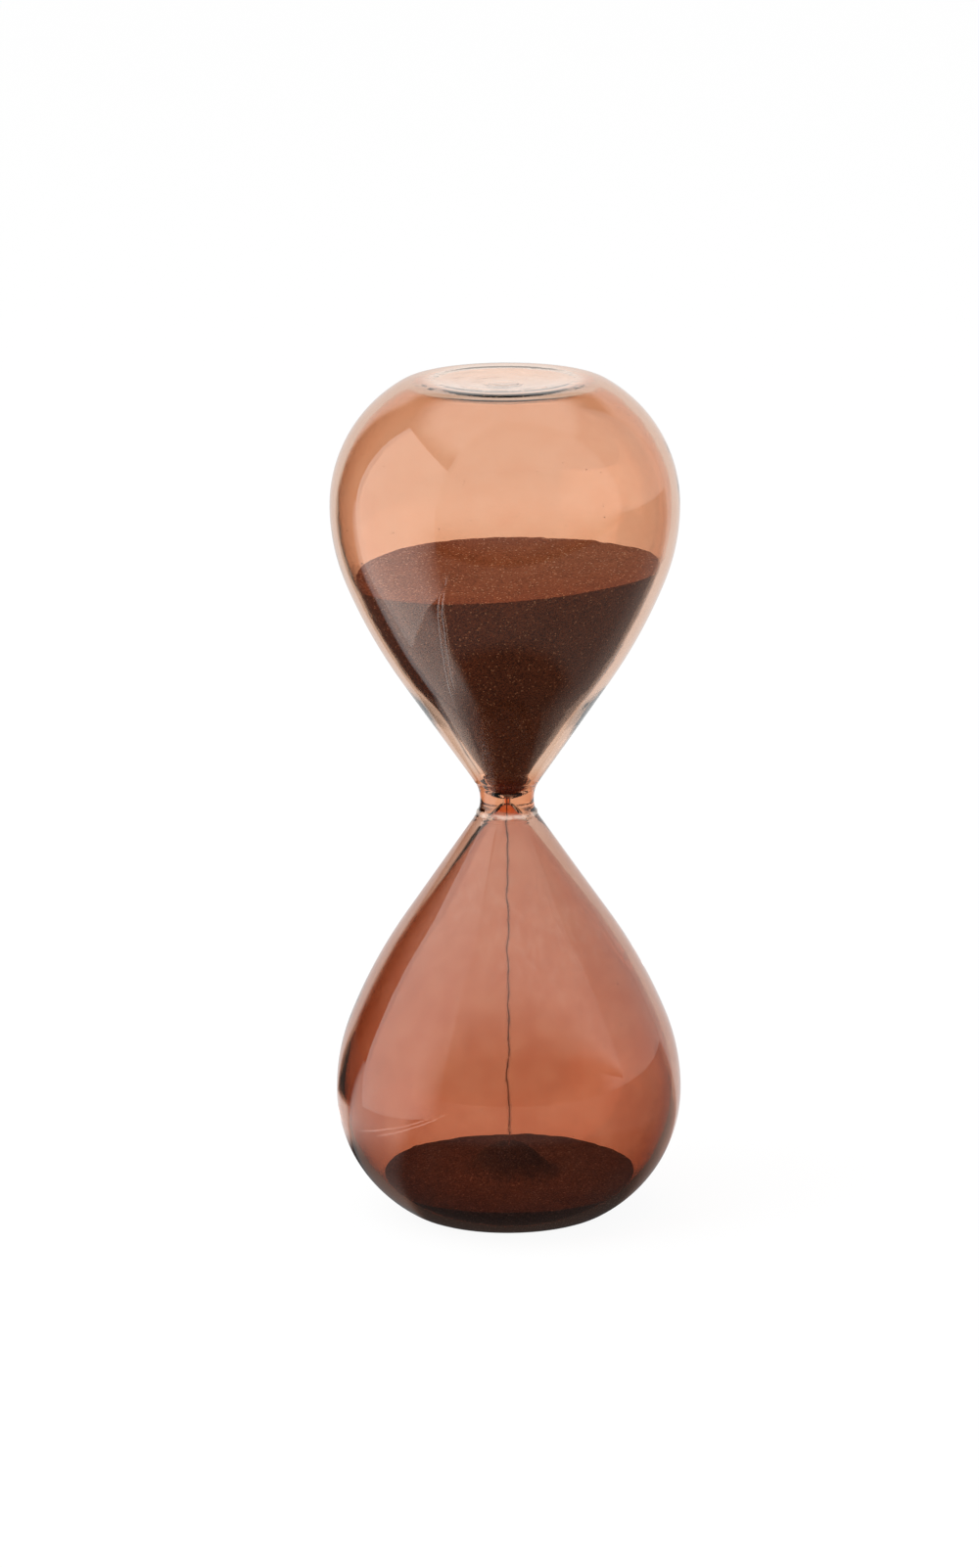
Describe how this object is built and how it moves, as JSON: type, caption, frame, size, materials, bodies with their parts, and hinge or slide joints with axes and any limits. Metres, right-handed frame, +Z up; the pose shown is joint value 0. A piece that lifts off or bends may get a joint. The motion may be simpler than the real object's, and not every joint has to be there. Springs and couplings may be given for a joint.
{
  "type": "hourglass",
  "caption": "Frameless blown-glass sand timer: drop-shaped bulbs joined at a thick waist, with dark sand running from the upper bulb to a mound below.",
  "frame": {"origin": "centre of the flat ring that the timer stands on", "axes": "+Z up along the axis of both bulbs; the sand in the upper bulb lies slightly higher towards +X"},
  "size_m": [0.0836, 0.0836, 0.205],
  "materials": {
    "bulb_glass": "gloss",
    "waist_glass": "gloss",
    "seal_glass": "gloss",
    "sand": "matte"
  },
  "bodies": {
    "root": {"upper_bulb": "bulb_glass", "lower_bulb": "bulb_glass", "waist_joint": "waist_glass", "filling_seal": "seal_glass", "upper_sand": "sand", "lower_sand": "sand", "sand_stream": "sand"}
  },
  "joints": []
}
